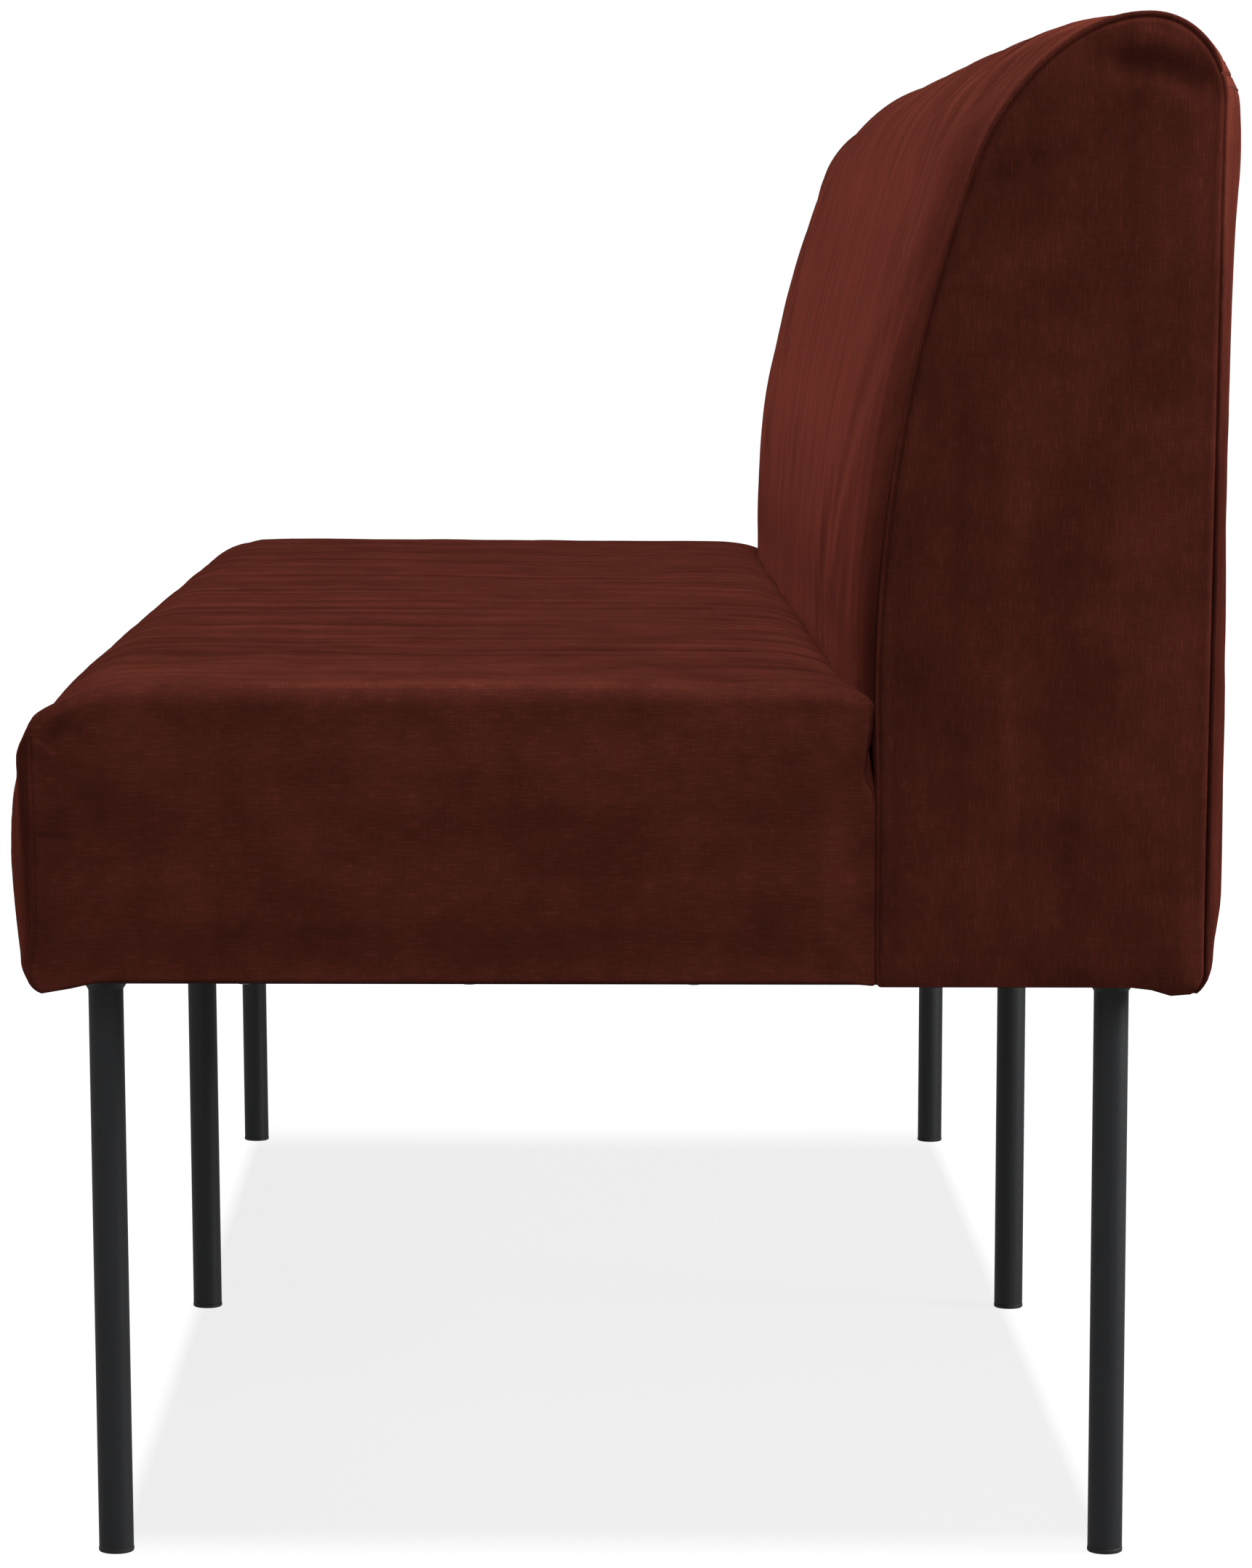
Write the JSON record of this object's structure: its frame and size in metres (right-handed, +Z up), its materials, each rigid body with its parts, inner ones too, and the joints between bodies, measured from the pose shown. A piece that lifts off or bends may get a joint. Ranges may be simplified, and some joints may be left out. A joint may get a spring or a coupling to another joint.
{
  "type": "dining bench",
  "caption": "Upholstered dining bench with a low rounded backrest, a boxed seat with a rolled front edge, and slim steel tube legs in welded pairs.",
  "frame": {"origin": "on the floor, under the middle of the bench's length and depth", "axes": "+X along the bench, -Y towards the sitter's side, +Z up"},
  "size_m": [1.6, 0.7073, 0.8925],
  "materials": {
    "black_steel": "satin black powder coat over steel",
    "black_plastic": "matt black moulded polyethylene",
    "zinc": "bright zinc plating",
    "frame_wood": "planed beech, unfinished",
    "fibre_board": "smooth hardboard",
    "webbing": "woven elastic webbing",
    "foam": "open-cell cushion foam with a thin wadding",
    "velvet": "deep red-brown velvet with a slubbed pile",
    "dust_cloth": "black non-woven cloth"
  },
  "bodies": {
    "root": {"crossbar_left": "black_steel", "crossbar_middle": "black_steel", "crossbar_right": "black_steel", "leg_front_left": "black_steel", "leg_front_middle": "black_steel", "leg_front_right": "black_steel", "leg_rear_left": "black_steel", "leg_rear_middle": "black_steel", "leg_rear_right": "black_steel", "leg_welds": "black_steel", "foot_front_left": "black_plastic", "foot_front_middle": "black_plastic", "foot_front_right": "black_plastic", "foot_rear_left": "black_plastic", "foot_rear_middle": "black_plastic", "foot_rear_right": "black_plastic", "crossbar_screws": "zinc", "seat_frame_screws": "zinc", "back_bolts": "zinc", "back_bolt_washers": "zinc", "back_bolt_nuts": "zinc", "dust_cover_staples": "zinc", "seat_front_rail": "frame_wood", "seat_rear_rail": "frame_wood", "seat_end_rail_left": "frame_wood", "seat_end_rail_right": "frame_wood", "seat_cross_rail_left": "frame_wood", "seat_cross_rail_middle": "frame_wood", "seat_cross_rail_right": "frame_wood", "seat_stretcher_left": "frame_wood", "seat_stretcher_right": "frame_wood", "back_end_panel_left": "frame_wood", "back_end_panel_right": "frame_wood", "back_upright_left": "frame_wood", "back_upright_right": "frame_wood", "back_front_rail": "frame_wood", "back_rear_rail": "frame_wood", "back_top_rail": "frame_wood", "back_lumbar_rail": "frame_wood", "back_block_left": "frame_wood", "back_block_middle": "frame_wood", "back_block_right": "frame_wood", "back_front_board": "fibre_board", "back_rear_board": "fibre_board", "seat_webbing": "webbing", "seat_foam": "foam", "seat_front_foam": "foam", "seat_end_foam_left": "foam", "seat_end_foam_right": "foam", "back_foam": "foam", "back_rear_foam": "foam", "back_end_foam_left": "foam", "back_end_foam_right": "foam", "seat_cover": "velvet", "back_cover_front": "velvet", "back_cover_rear": "velvet", "back_cover_end_left": "velvet", "back_cover_end_right": "velvet", "dust_cover": "dust_cloth"}
  },
  "joints": []
}
